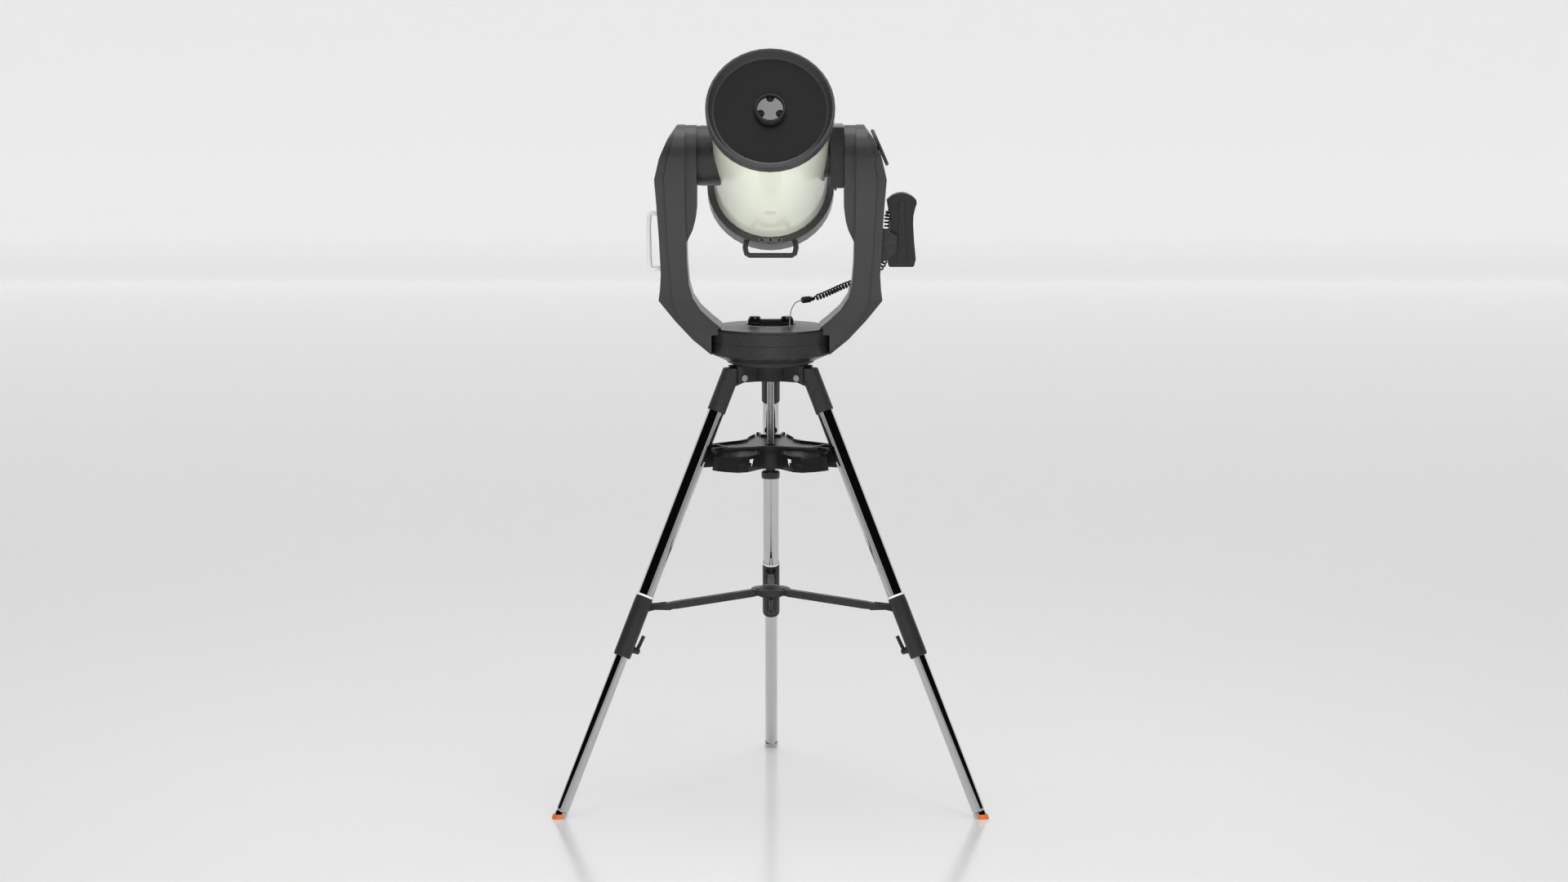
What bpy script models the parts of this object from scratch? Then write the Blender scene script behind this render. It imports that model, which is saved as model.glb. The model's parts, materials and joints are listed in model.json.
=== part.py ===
"""Fork-mounted Schmidt-Cassegrain telescope on a three-leg field tripod.

Frame: metres, +Z up, origin on the floor under the azimuth axis.  The optical tube points to -Y and up.
Each named object is one physical piece.  Empties hold the joint axes that the pieces turn or slide on.
"""
import math
from math import cos, pi, radians, sin

import bmesh
import bpy
from mathutils import Matrix, Vector

# ------------------------------------------------------------------ driving dimensions (metres)
GAP = 0.0003                      # clearance left between neighbouring pieces
FOOT_RADIUS = 0.535               # leg centre line meets the floor on this circle
LEG_SLOPE = 0.45272               # radial run of a leg per metre of height
LEG_AZIMUTH = {"left": -150.0, "right": -30.0, "rear": 90.0}
ALT_Z = 1.4367                    # height of the altitude axis
TUBE_ELEVATION = 27.5             # degrees above the horizon at rest
TUBE_R, TUBE_WALL = 0.1275, 0.003
FRONT_R, REAR_R = 0.1407, 0.1425
T_FRONT, T_REAR = 0.2636, -0.163  # front rim and rear cell rim along the tube axis from the altitude axis
DRUM_R = 0.134
TRAY_TOP, TRAY_BOTTOM = 0.798, 0.748
HEAD_TOP = 0.9775
PIVOT_R, PIVOT_Z = 0.0816, 0.9480     # leg hinge
BRACE_R, BRACE_Z = 0.2620, 0.4490     # outer end of a brace arm
HUB_R, HUB_Z = 0.0365, 0.4610         # inner end of a brace arm
S_BRACKET, S_CLAMP0, S_CLAMP1, S_LOCK = 0.9600, 0.3800, 0.5200, 0.4030   # stations along a leg from its foot

leg_len = math.hypot(1.0, LEG_SLOPE)
LEG_C, LEG_S = 1.0 / leg_len, LEG_SLOPE / leg_len     # cosine and sine of the lean from vertical


# ------------------------------------------------------------------ helpers
for old in list(bpy.data.objects):
    bpy.data.objects.remove(old, do_unlink=True)

PARTS = bpy.data.collections.new("schmidt_cassegrain_telescope")
CUTTERS = bpy.data.collections.new("cutters")
for c in (PARTS, CUTTERS):
    bpy.context.scene.collection.children.link(c)

MATERIALS = {}


def material(name, color, roughness, metallic):
    if name not in MATERIALS:
        m = bpy.data.materials.new(name)
        m.use_nodes = True
        b = m.node_tree.nodes["Principled BSDF"]
        b.inputs["Base Color"].default_value = (*color, 1.0)
        b.inputs["Roughness"].default_value = roughness
        b.inputs["Metallic"].default_value = metallic
        MATERIALS[name] = m
    return MATERIALS[name]


BLACK = ("black_plastic", (0.035, 0.035, 0.036), 0.42, 0.0)
CAST = ("black_casting", (0.045, 0.045, 0.046), 0.5, 0.2)
CHROME = ("steel_tube", (0.75, 0.75, 0.76), 0.12, 1.0)
CREAM = ("cream_tube", (0.79, 0.83, 0.70), 0.18, 0.0)
ORANGE = ("orange_rubber", (0.80, 0.22, 0.07), 0.55, 0.0)
GLASS = ("dark_glass", (0.05, 0.05, 0.05), 0.05, 0.0)
MIRROR = ("mirror_coat", (0.9, 0.9, 0.92), 0.02, 1.0)
BRASS = ("brass_gear", (0.75, 0.58, 0.28), 0.3, 1.0)
RUBBER = ("black_rubber", (0.02, 0.02, 0.02), 0.75, 0.0)
KEY = ("key_rubber", (0.30, 0.30, 0.31), 0.6, 0.0)


def empty(name, matrix=None):
    e = bpy.data.objects.new(name, None)
    PARTS.objects.link(e)
    if matrix is not None:
        e.matrix_world = matrix
    return e


def place(obj, parent=None, loc=(0, 0, 0), rot=(0, 0, 0), cutter=False, mat=None):
    (CUTTERS if cutter else PARTS).objects.link(obj)
    obj.parent = parent
    obj.location = loc
    obj.rotation_euler = rot
    if cutter:
        obj.hide_render = True
        obj.display_type = "WIRE"
    if mat is not None:
        obj.data.materials.append(material(*mat))
    return obj


def shade(mesh, angle=35.0):
    mesh.shade_smooth()
    mesh.set_sharp_from_angle(angle=radians(angle))


def lathe(name, profile, steps, mat=None, **kw):
    """Profile points are (radius, height).  A profile that starts and ends on the axis is a solid, any other is a closed ring."""
    pts = list(profile)
    area = sum(pts[i - 1][0] * pts[i][1] - pts[i][0] * pts[i - 1][1] for i in range(len(pts)))
    if area > 0:
        pts.reverse()
    solid = pts[0][0] < 1e-9 or pts[-1][0] < 1e-9
    me = bpy.data.meshes.new(name)
    n = len(pts)
    edges = [(i, i + 1) for i in range(n - 1)] + ([] if solid else [(n - 1, 0)])
    me.from_pydata([(r, 0, z) for r, z in pts], edges, [])
    obj = place(bpy.data.objects.new(name, me), mat=mat, **kw)
    s = obj.modifiers.new("turn", "SCREW")
    s.axis = "Z"
    s.angle = 2 * pi
    s.steps = s.render_steps = steps
    s.use_merge_vertices = True
    s.merge_threshold = 0.00005
    s.use_smooth_shade = True
    return obj


def box(name, lo, hi, mat=None, **kw):
    bm = bmesh.new()
    bmesh.ops.create_cube(bm, size=1.0)
    size = Vector(hi) - Vector(lo)
    mid = (Vector(hi) + Vector(lo)) / 2
    bmesh.ops.transform(bm, matrix=Matrix.Translation(mid) @ Matrix.Diagonal((*size, 1.0)), verts=bm.verts)
    me = bpy.data.meshes.new(name)
    bm.to_mesh(me)
    bm.free()
    return place(bpy.data.objects.new(name, me), mat=mat, **kw)


def cyl(name, r, z0, z1, seg=24, r2=None, mat=None, **kw):
    bm = bmesh.new()
    bmesh.ops.create_cone(bm, cap_ends=True, cap_tris=False, segments=seg, radius1=r, radius2=r if r2 is None else r2, depth=z1 - z0)
    bmesh.ops.translate(bm, vec=(0, 0, (z0 + z1) / 2), verts=bm.verts)
    me = bpy.data.meshes.new(name)
    bm.to_mesh(me)
    bm.free()
    shade(me)
    return place(bpy.data.objects.new(name, me), mat=mat, **kw)


def plate(name, outline, z0, z1, mat=None, **kw):
    """A flat outline, filled and thickened from z0 to z1 of its own frame."""
    cu = bpy.data.curves.new(name + "_outline", "CURVE")
    cu.dimensions = "2D"
    cu.fill_mode = "BOTH"
    cu.extrude = (z1 - z0) / 2
    sp = cu.splines.new("POLY")
    sp.points.add(len(outline) - 1)
    for p, (x, y) in zip(sp.points, outline):
        p.co = (x, y, 0, 1)
    sp.use_cyclic_u = True
    tmp = bpy.data.objects.new(name + "_outline", cu)
    CUTTERS.objects.link(tmp)
    dg = bpy.context.evaluated_depsgraph_get()
    me = bpy.data.meshes.new_from_object(tmp.evaluated_get(dg))
    bpy.data.objects.remove(tmp)
    bm = bmesh.new()
    bm.from_mesh(me)
    bmesh.ops.remove_doubles(bm, verts=bm.verts, dist=1e-6)
    bmesh.ops.translate(bm, vec=(0, 0, (z0 + z1) / 2), verts=bm.verts)
    bmesh.ops.recalc_face_normals(bm, faces=bm.faces)
    bm.to_mesh(me)
    bm.free()
    me.name = name
    return place(bpy.data.objects.new(name, me), mat=mat, **kw)


def tube(name, points, radius, mat=None, flat=1.0, **kw):
    """A round bar along points, bent sharp at each, made a mesh.  flat widens it along Y."""
    cu = bpy.data.curves.new(name + "_path", "CURVE")
    cu.dimensions = "3D"
    cu.bevel_depth = radius
    cu.bevel_resolution = 2
    cu.use_fill_caps = True
    sp = cu.splines.new("POLY")
    sp.points.add(len(points) - 1)
    for p, co in zip(sp.points, points):
        p.co = (co[0], co[1] / flat, co[2], 1)
    tmp = bpy.data.objects.new(name + "_path", cu)
    CUTTERS.objects.link(tmp)
    dg = bpy.context.evaluated_depsgraph_get()
    me = bpy.data.meshes.new_from_object(tmp.evaluated_get(dg))
    bpy.data.objects.remove(tmp)
    bm = bmesh.new()
    bm.from_mesh(me)
    bmesh.ops.remove_doubles(bm, verts=bm.verts, dist=1e-5)
    bmesh.ops.transform(bm, matrix=Matrix.Diagonal((1, flat, 1, 1)), verts=bm.verts)
    bmesh.ops.recalc_face_normals(bm, faces=bm.faces)
    bm.to_mesh(me)
    bm.free()
    me.name = name
    shade(me, 50)
    return place(bpy.data.objects.new(name, me), mat=mat, **kw)


def cut(obj, other, op="DIFFERENCE"):
    m = obj.modifiers.new(op.lower(), "BOOLEAN")
    m.operation = op
    m.solver = "EXACT"
    m.object = other
    return obj


def join(obj, other):
    return cut(obj, other, "UNION")


def bevel(obj, width, segments=1, angle=40):
    m = obj.modifiers.new("rounded", "BEVEL")
    m.width = width
    m.segments = segments
    m.limit_method = "ANGLE"
    m.angle_limit = radians(angle)
    return obj


def arc(cx, cy, rx, ry, a0, a1, n):
    return [(cx + rx * cos(radians(a0 + (a1 - a0) * i / n)), cy + ry * sin(radians(a0 + (a1 - a0) * i / n))) for i in range(n + 1)]


FRONTAL = (pi / 2, 0, 0)          # outline in X and Z, thickness along -Y
SIDEWAYS = (pi / 2, 0, pi / 2)    # outline in Y and Z, thickness along X

# ------------------------------------------------------------------ frames
azimuth_axis = empty("azimuth_axis")
altitude_axis = empty("altitude_axis", Matrix.Translation((0, 0, ALT_Z)) @ Matrix.Rotation(radians(90 - TUBE_ELEVATION), 4, "X"))
altitude_axis.parent = azimuth_axis
LEG = {}
for side, az in LEG_AZIMUTH.items():
    er = Vector((cos(radians(az)), sin(radians(az)), 0))
    et = Vector((-er.y, er.x, 0))
    up = Vector((0, 0, 1))
    along = -LEG_S * er + LEG_C * up          # up the leg
    inward = -(LEG_C * er + LEG_S * up)       # square to the leg, towards the middle
    m = Matrix((et, inward, along)).transposed().to_4x4()
    m.translation = FOOT_RADIUS * er
    LEG[side] = empty("leg_frame_" + side, m)
SPOKE = {side: empty("spoke_frame_" + side, Matrix.Rotation(radians(az), 4, "Z")) for side, az in LEG_AZIMUTH.items()}
# in a spoke frame X is radial and Y is tangential

# ------------------------------------------------------------------ tripod head
head = lathe("tripod_head", [(0.0078, 0.9385), (0.0500, 0.9385), (0.0520, 0.9405), (0.0520, 0.9725), (0.0860, 0.9732), (0.0860, HEAD_TOP), (0.0078, HEAD_TOP)], 24, mat=CAST)
for side in LEG:
    for k, (a, b) in enumerate(((0.0142, 0.0225), (-0.0225, -0.0142))):
        join(head, box(f"cheek_{side}_{k}", (0.0400, a, 0.9380), (0.0945, b, 0.9740), parent=SPOKE[side], cutter=True))
    cut(head, cyl(f"pivot_bore_{side}", 0.0043, -0.0300, 0.0300, 12, parent=SPOKE[side], loc=(PIVOT_R, 0, PIVOT_Z), rot=(pi / 2, 0, 0), cutter=True))
    lathe(f"leg_pivot_bolt_{side}", [(0, 0.0285), (0.0060, 0.0285), (0.0080, 0.0270), (0.0080, 0.0228), (0.0040, 0.0228), (0.0040, -0.0228), (0.0074, -0.0228), (0.0074, -0.0280), (0, -0.0280)],
          12, mat=CHROME, parent=SPOKE[side], loc=(PIVOT_R, 0, PIVOT_Z), rot=(pi / 2 if side != "right" else -pi / 2, 0, 0))

# ------------------------------------------------------------------ legs: bracket, outer tube, clamp, sliding inner tube, foot, lock
floor_cut = box("floor_plane", (-1, -1, -0.2), (1, 1, 0), cutter=True)
EAR = [(PIVOT_R + 0.0140 * cos(radians(a)), PIVOT_Z + 0.0125 * sin(radians(a))) for a in (120, 150, 180, 210, 240)]
for side, frame in LEG.items():
    spoke = SPOKE[side]
    br = cyl(f"leg_bracket_{side}", 0.0205, S_BRACKET, 1.0900, 16, mat=CAST, parent=frame)
    join(br, plate(f"ear_{side}", EAR + [(0.0960, 0.9300), (0.1100, 0.9300), (0.1100, 0.9595)], -0.0138, 0.0138, parent=spoke, rot=(pi / 2, 0, 0), cutter=True))
    cut(br, box(f"bracket_top_{side}", (0.0400, -0.05, 0.9695), (0.2000, 0.05, 1.0400), parent=spoke, cutter=True))
    for k, (a, b) in enumerate(((0.0138, 0.0500), (-0.0500, -0.0138))):
        cut(br, box(f"cheek_clearance_{side}_{k}", (0.0300, a, 0.9240), (0.0976, b, 0.9800), parent=spoke, cutter=True))
    cut(br, cyl(f"bracket_bore_{side}", 0.0183, S_BRACKET - 0.01, 0.9900, 20, parent=frame, cutter=True))
    cut(br, cyl(f"ear_bore_{side}", 0.0043, -0.03, 0.03, 12, parent=spoke, loc=(PIVOT_R, 0, PIVOT_Z), rot=(pi / 2, 0, 0), cutter=True))

    lathe(f"leg_tube_{side}", [(0.0150, 0.4425), (0.0180, 0.4425), (0.0180, 0.9890), (0.0150, 0.9890)], 20, mat=CHROME, parent=frame)

    cl = lathe(f"leg_clamp_{side}", [(0.0146, S_CLAMP0), (0.0182, S_CLAMP0), (0.0196, S_CLAMP0 + 0.004), (0.0196, 0.5080), (0.0190, S_CLAMP1), (0.0183, S_CLAMP1), (0.0183, 0.4420), (0.0146, 0.4420)], 20, mat=CAST, parent=frame)
    for k, (a, b) in enumerate(((0.0079, 0.0115), (-0.0115, -0.0079))):
        lug = plate(f"lug_{side}_{k}", arc(BRACE_R, BRACE_Z, 0.0080, 0.0080, 90, 270, 4) + [(0.3000, BRACE_Z - 0.0040), (0.3300, BRACE_Z - 0.0080), (0.3200, BRACE_Z + 0.0090), (0.2850, BRACE_Z + 0.0075)], a, b, parent=spoke, rot=(pi / 2, 0, 0), cutter=True)
        join(cl, lug)
    cut(cl, cyl(f"clamp_bore_{side}", 0.01832, 0.4421, 0.5300, 20, parent=frame, cutter=True))
    join(cl, cyl(f"lock_boss_{side}", 0.0085, 0.0165, 0.0230, 12, parent=frame, loc=(0, 0, S_LOCK), rot=(-pi / 2, 0, 0), cutter=True))
    cut(cl, cyl(f"lock_bore_{side}", 0.0034, 0.0130, 0.0300, 12, parent=frame, loc=(0, 0, S_LOCK), rot=(-pi / 2, 0, 0), cutter=True))

    lathe(f"lower_leg_{side}", [(0, 0.0135), (0.0120, 0.0135), (0.0143, 0.0200), (0.0143, 0.6400), (0.0118, 0.6400), (0.0118, 0.0300), (0, 0.0300)], 20, mat=CHROME, parent=frame)
    ft = lathe(f"foot_{side}", [(0, -0.0120), (0.0120, -0.0100), (0.0148, 0.0010), (0.0150, 0.0110), (0.0140, 0.0131), (0, 0.0131)], 16, mat=ORANGE, parent=frame)
    cut(ft, floor_cut)

    lk = lathe(f"leg_lock_{side}", [(0, 0.0160), (0.0031, 0.0160), (0.0031, 0.0234), (0.0060, 0.0234), (0.0070, 0.0250), (0.0070, 0.0340), (0.0058, 0.0360), (0, 0.0360)], 10, mat=BLACK, parent=frame, loc=(0, 0, S_LOCK), rot=(-pi / 2, 0, 0))
    join(lk, tube(f"lock_lever_{side}", [(0, 0.0300, S_LOCK), (0, 0.0318, S_LOCK + 0.014), (0, 0.0335, S_LOCK + 0.037)], 0.0043, parent=frame, cutter=True))

# ------------------------------------------------------------------ leg brace: hub with its pins, and three arms
hub = lathe("brace_hub", [(0, 0.4490), (0.0250, 0.4490), (0.0260, 0.4546), (0.0430, 0.4546), (0.0440, 0.4560), (0.0440, 0.4665), (0.0430, 0.4676), (0.0270, 0.4680), (0.0180, 0.4735), (0, 0.4750)], 24, mat=CAST)
ARM_L = math.hypot(BRACE_R - HUB_R, HUB_Z - BRACE_Z)
ARM_TILT = math.atan2(HUB_Z - BRACE_Z, BRACE_R - HUB_R)
ARM_OUTLINE = arc(0, 0, 0.0065, 0.0065, 90, 270, 6) + [(0.0140, -0.0080), (ARM_L - 0.0200, -0.0080)] + arc(ARM_L, 0, 0.0068, 0.0068, -90, 90, 6) + [(ARM_L - 0.0200, 0.0080), (0.0140, 0.0080)]
for side, spoke in SPOKE.items():
    cut(hub, box(f"hub_slot_{side}", (0.0290, -0.0079, 0.4300), (0.0600, 0.0079, 0.4900), parent=spoke, cutter=True))
    join(hub, cyl(f"hub_pin_{side}", 0.0024, -0.0110, 0.0110, 10, parent=spoke, loc=(HUB_R, 0, HUB_Z), rot=(pi / 2, 0, 0), cutter=True))
    hinge = empty("brace_hinge_" + side, SPOKE[side].matrix_world @ Matrix.Translation((HUB_R, 0, HUB_Z)) @ Matrix.Rotation(ARM_TILT, 4, "Y") @ Matrix.Rotation(pi / 2, 4, "X"))
    ar = plate(f"brace_arm_{side}", ARM_OUTLINE, -0.0075, 0.0075, mat=CAST, parent=hinge)
    cut(ar, cyl(f"arm_bore_{side}", 0.0028, -0.02, 0.02, 10, parent=hinge, cutter=True))
    cut(ar, cyl(f"arm_end_bore_{side}", 0.0028, -0.02, 0.02, 10, parent=hinge, loc=(ARM_L, 0, 0), cutter=True))

# ------------------------------------------------------------------ tension rod, accessory tray, tray knob
cyl("tension_rod", 0.0075, 0.7180, 0.9900, 16, mat=CHROME)


# The tray's outline, by degrees from the middle of a hollow.  A leg stands at 60, in a notch that is the last two stations.
STATIONS = (6, 13, 17, 20, 26, 36, 41, 45.5, 49.2, 51.2, 51.4, 60)
LOBES = (0.0745, 0.0830, 0.1050, 0.1430, 0.1610, 0.1650, 0.1655, 0.1655, 0.1650, 0.1650, 0.1285, 0.1270)
STAR = (0.0715, 0.0735, 0.0770, 0.0805, 0.0920, 0.1120, 0.1255, 0.1430, 0.1690, 0.1680, 0.1285, 0.1270)


def around(radii, k=1.0, inset=0.0):
    """Points at the stations, mirrored about each hollow and repeated for the three.  k draws in what lies beyond the hollows, and inset leaves a wall."""
    back = 430.0 * inset                               # the same wall along the radial sides of a notch, in degrees
    turn = 0.35 if inset else 0.0                      # an inner outline's corners stand clear of the outer one's
    half = [(f - turn - (back if f > 49 and f < 60 else 0), 0.0715 + (r - 0.0715) * k - inset) for f, r in zip(STATIONS, radii)]
    pts = []
    for az in (-90, 30, 150):
        for f, r in [(-f, r) for f, r in reversed(half[:-1])] + half:
            pts.append((r * cos(radians(az + f)), r * sin(radians(az + f))))
    return pts


def stack(name, levels, mat=None, **kw):
    """Outlines with the same number of points, skinned from the lowest to the highest."""
    bm = bmesh.new()
    rings = [[bm.verts.new((x, y, z)) for x, y in outline] for outline, z in levels]
    n = len(rings[0])
    hubs = [bm.verts.new((0, 0, levels[0][1])), bm.verts.new((0, 0, levels[-1][1]))]
    for i in range(n):
        bm.faces.new((hubs[0], rings[0][(i + 1) % n], rings[0][i]))
        bm.faces.new((hubs[1], rings[-1][i], rings[-1][(i + 1) % n]))
    for low, high in zip(rings, rings[1:]):
        for i in range(n):
            bm.faces.new((low[i], low[(i + 1) % n], high[(i + 1) % n], high[i]))
    bmesh.ops.triangulate(bm, faces=bm.faces[:])
    bmesh.ops.recalc_face_normals(bm, faces=bm.faces)
    if bm.calc_volume(signed=True) < 0:
        bmesh.ops.reverse_faces(bm, faces=bm.faces)
    me = bpy.data.meshes.new(name)
    bm.to_mesh(me)
    bm.free()
    shade(me, 30)
    return place(bpy.data.objects.new(name, me), mat=mat, **kw)


tray = stack("tray", [(around(LOBES), TRAY_BOTTOM), (around(LOBES, 0.945), 0.7780), (around(LOBES, 0.90), 0.7825), (around(STAR, 1.0), 0.7925), (around(STAR, 1.0), TRAY_TOP)], mat=BLACK)
cut(tray, stack("tray_hollow", [(around(LOBES, 0.98, 0.0032), TRAY_BOTTOM - 0.0100), (around(LOBES, 0.93, 0.0032), 0.7750), (around(STAR, 0.90, 0.0060), 0.7770), (around(STAR, 0.90, 0.0060), 0.7865)], cutter=True))
cut(tray, stack("tray_floor", [(around(STAR, 0.97, 0.0030), TRAY_TOP - 0.0055), (around(STAR, 0.98, 0.0030), TRAY_TOP + 0.0100)], cutter=True))
join(tray, cyl("tray_boss", 0.0120, 0.7790, TRAY_TOP - 0.0040, 18, cutter=True))
cut(tray, cyl("tray_bore", 0.0078, TRAY_BOTTOM - 0.02, TRAY_TOP + 0.02, 16, cutter=True))

knob = lathe("tray_knob", [(0.0078, 0.7160), (0.0190, 0.7160), (0.0205, 0.7185), (0.0205, 0.7300), (0.0185, 0.7320), (0.0110, 0.7325), (0.0110, 0.7760), (0.0078, 0.7760)], 18, mat=BLACK)
for side, az in LEG_AZIMUTH.items():
    cut(knob, cyl(f"knob_flute_{side}", 0.0120, 0.70, 0.7322, 12, loc=(0.0300 * cos(radians(az + 60)), 0.0300 * sin(radians(az + 60)), 0), cutter=True))

# ------------------------------------------------------------------ azimuth drive base and rotating fork base
base = lathe("drive_base", [(0.0080, 0.9780), (0.0960, 0.9780), (0.0975, 0.9800), (0.0975, 0.9845), (0.0300, 0.9845), (0.0300, 1.0400), (0.0080, 1.0400)], 30, mat=CAST)
teeth = []
N_AZ = 24
for i in range(N_AZ):
    a = 2 * pi * i / N_AZ
    for da, r in ((-0.068, 0.0780), (-0.034, 0.0830), (0.034, 0.0830), (0.068, 0.0780)):
        teeth.append((r * cos(a + da), r * sin(a + da)))
gear = plate("azimuth_gear", teeth, 0.9960, 1.0060, mat=BRASS)
cut(gear, cyl("azimuth_gear_bore", 0.0303, 0.98, 1.02, 30, cutter=True))

lathe("fork_base", [(0.0306, 0.9850), (0.1040, 0.9850), (DRUM_R, 0.9980), (DRUM_R, 1.0515), (0.1295, 1.0515), (0.1295, 1.0010), (0.1020, 0.9890), (0.0306, 0.9890)], 36, mat=BLACK, parent=azimuth_axis)
lathe("base_top_cover", [(0, 1.0500), (0.0150, 1.0518), (0.1335, 1.0518), (0.1335, 1.0530), (0.1300, 1.0568), (0.0850, 1.0575), (0.0600, 1.0618), (0.0570, 1.0618), (0.0560, 1.0600), (0.0060, 1.0600), (0.0060, 1.0560), (0, 1.0560)], 36, mat=BLACK, parent=azimuth_axis)
lock = cyl("azimuth_lock_knob", 0.0530, 1.0605, 1.0645, 30, mat=BLACK, parent=azimuth_axis)
join(lock, plate("lock_grip", [(-0.045, -0.008), (-0.020, -0.0095), (0.020, -0.0095), (0.045, -0.008), (0.045, 0.008), (0.020, 0.0095), (-0.020, 0.0095), (-0.045, 0.008)], 1.0600, 1.0740, parent=azimuth_axis, cutter=True))
for k, x in enumerate((-0.0350, 0.0360)):
    join(lock, lathe(f"lock_lobe_{k}", [(0, 1.0600), (0.0165, 1.0600), (0.0160, 1.0720), (0.0110, 1.0800), (0, 1.0812)], 14, parent=azimuth_axis, loc=(x, 0, 0), cutter=True))
join(lock, cyl("lock_stem", 0.0055, 1.0565, 1.0610, 14, parent=azimuth_axis, cutter=True))

# ------------------------------------------------------------------ fork arms: casting with an open pocket, and an outer cover
OUTER = [(-0.2105, 1.4988), (-0.2289, 1.4714), (-0.2455, 1.4340), (-0.2561, 1.3884), (-0.2521, 1.3384), (-0.2461, 1.2551), (-0.2424, 1.1757), (-0.2445, 1.1422), (-0.2475, 1.1192), (-0.2115, 1.0753), (-0.1719, 1.0333), (-0.1304, 0.9997)]
SEAM = [(-0.2105, 1.4988), (-0.2163, 1.4701), (-0.2290, 1.4250), (-0.2346, 1.3929), (-0.2312, 1.3349), (-0.2268, 1.2382), (-0.2198, 1.1655), (-0.2180, 1.1300), (-0.2130, 1.1050), (-0.1990, 1.0800), (-0.1640, 1.0420), (-0.1304, 1.0080)]
INNER = [(-0.1304, 1.0437), (-0.1094, 1.0459), (-0.1094, 1.0605), (-0.1302, 1.0773), (-0.1550, 1.1002), (-0.1716, 1.1254), (-0.1799, 1.1547), (-0.1839, 1.2019), (-0.1850, 1.2500), (-0.1880, 1.3000), (-0.1885, 1.5057)]
BULGE = [(-0.1627, 1.5040), (-0.1627, 1.3217), (-0.1660, 1.2960), (-0.1713, 1.2760), (-0.1838, 1.2500), (-0.2000, 1.2450), (-0.2000, 1.5040)]
POCKET = [(-0.2700, 1.4700), (-0.2100, 1.4700), (-0.1950, 1.4850), (-0.1930, 1.3000), (-0.1905, 1.2400), (-0.1905, 1.2019), (-0.1885, 1.1560), (-0.1805, 1.1285), (-0.1665, 1.1060), (-0.1590, 1.0960), (-0.1620, 1.0640), (-0.1900, 1.0300), (-0.2700, 1.1000)]
SIDE = [(0.072, 0.985), (0.068, 1.05), (0.060, 1.12), (0.060, 1.20), (0.0655, 1.300), (0.078, 1.385)] + arc(0, ALT_Z, 0.078, 0.0690, 0, 180, 10) + [(-0.078, 1.385), (-0.0655, 1.300), (-0.060, 1.20), (-0.060, 1.12), (-0.068, 1.05), (-0.072, 0.985)]
SIDE_SMALL = [(y * 0.80, z) for y, z in SIDE]
SIDE_COVER = [(y * 0.88, z) for y, z in SIDE]
POCKET_SIDE = [(0.052, 1.02), (0.052, 1.28), (0.062, 1.38)] + arc(0, ALT_Z, 0.062, 0.050, 0, 180, 6) + [(-0.062, 1.38), (-0.052, 1.28), (-0.052, 1.02)]
ALT_LOCK = (0.2372, 0, 1.4527)
drum_cut = cyl("drum_clearance", DRUM_R + GAP, 0.90, 1.0583, 36, cutter=True)
top_axis = (0, 0, 0)


COVER_FACE = [(x - GAP, z) for x, z in OUTER] + [(-0.13, 1.0), (-0.13, 1.49)]    # the cover's outer side, moved out by the gap


def mirrored(points, s):
    return [(x * s, z) for x, z in points]


for side, s in (("left", 1), ("right", -1)):
    core = plate(f"arm_{side}", mirrored([(-0.1885, 1.5057), (-0.2059, 1.5057)] + SEAM + INNER[:-1], s), -0.080, 0.080, mat=BLACK, parent=azimuth_axis, rot=FRONTAL)
    cut(core, plate(f"arm_side_{side}", SIDE, -0.30, 0.30, rot=SIDEWAYS, cutter=True), "INTERSECT")
    bulge = plate(f"arm_bulge_{side}", mirrored(BULGE, s), -0.075, 0.075, rot=FRONTAL, cutter=True)
    cut(bulge, plate(f"bulge_side_{side}", SIDE_SMALL, -0.30, 0.30, rot=SIDEWAYS, cutter=True), "INTERSECT")
    join(core, bulge)
    pocket = plate(f"arm_pocket_{side}", mirrored(POCKET, s), -0.070, 0.070, rot=FRONTAL, cutter=True)
    cut(pocket, plate(f"pocket_side_{side}", POCKET_SIDE, -0.30, 0.30, rot=SIDEWAYS, cutter=True), "INTERSECT")
    cut(core, pocket)
    cut(core, drum_cut)
    cut(core, cyl(f"arm_bore_{side}", 0.0203, 0.150, 0.205, 24, loc=(0, 0, ALT_Z), rot=(0, -pi / 2 * s, 0), cutter=True))

    seam = [(x - GAP, z) for x, z in SEAM]
    seam[0] = (-0.2112, 1.4978)
    cover = plate(f"arm_{side}_cover", mirrored(OUTER[:0] + [(-0.2112, 1.4978)] + OUTER[1:] + [(-0.1310, 1.0070)] + list(reversed(seam[1:-1])), s), -0.080, 0.080, mat=BLACK, parent=azimuth_axis, rot=FRONTAL)
    cut(cover, plate(f"cover_side_{side}", SIDE_COVER, -0.30, 0.30, rot=SIDEWAYS, cutter=True), "INTERSECT")
    hollow = plate(f"cover_hollow_{side}", mirrored([(-0.2210, 1.4650), (-0.2400, 1.4300), (-0.2500, 1.3884), (-0.2462, 1.3384), (-0.2402, 1.2551), (-0.2365, 1.1757), (-0.2400, 1.1250), (-0.2080, 1.0830), (-0.1900, 1.0640), (-0.1700, 1.0600), (-0.1700, 1.4650)], s), -0.051, 0.051, rot=FRONTAL, cutter=True)
    cut(cover, hollow)
    cut(cover, drum_cut)
    if side == "right":
        cut(cover, cyl("alt_lock_bore", 0.0053, -0.03, 0.02, 14, loc=ALT_LOCK, rot=(0, radians(66.1), 0), cutter=True))

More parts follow.
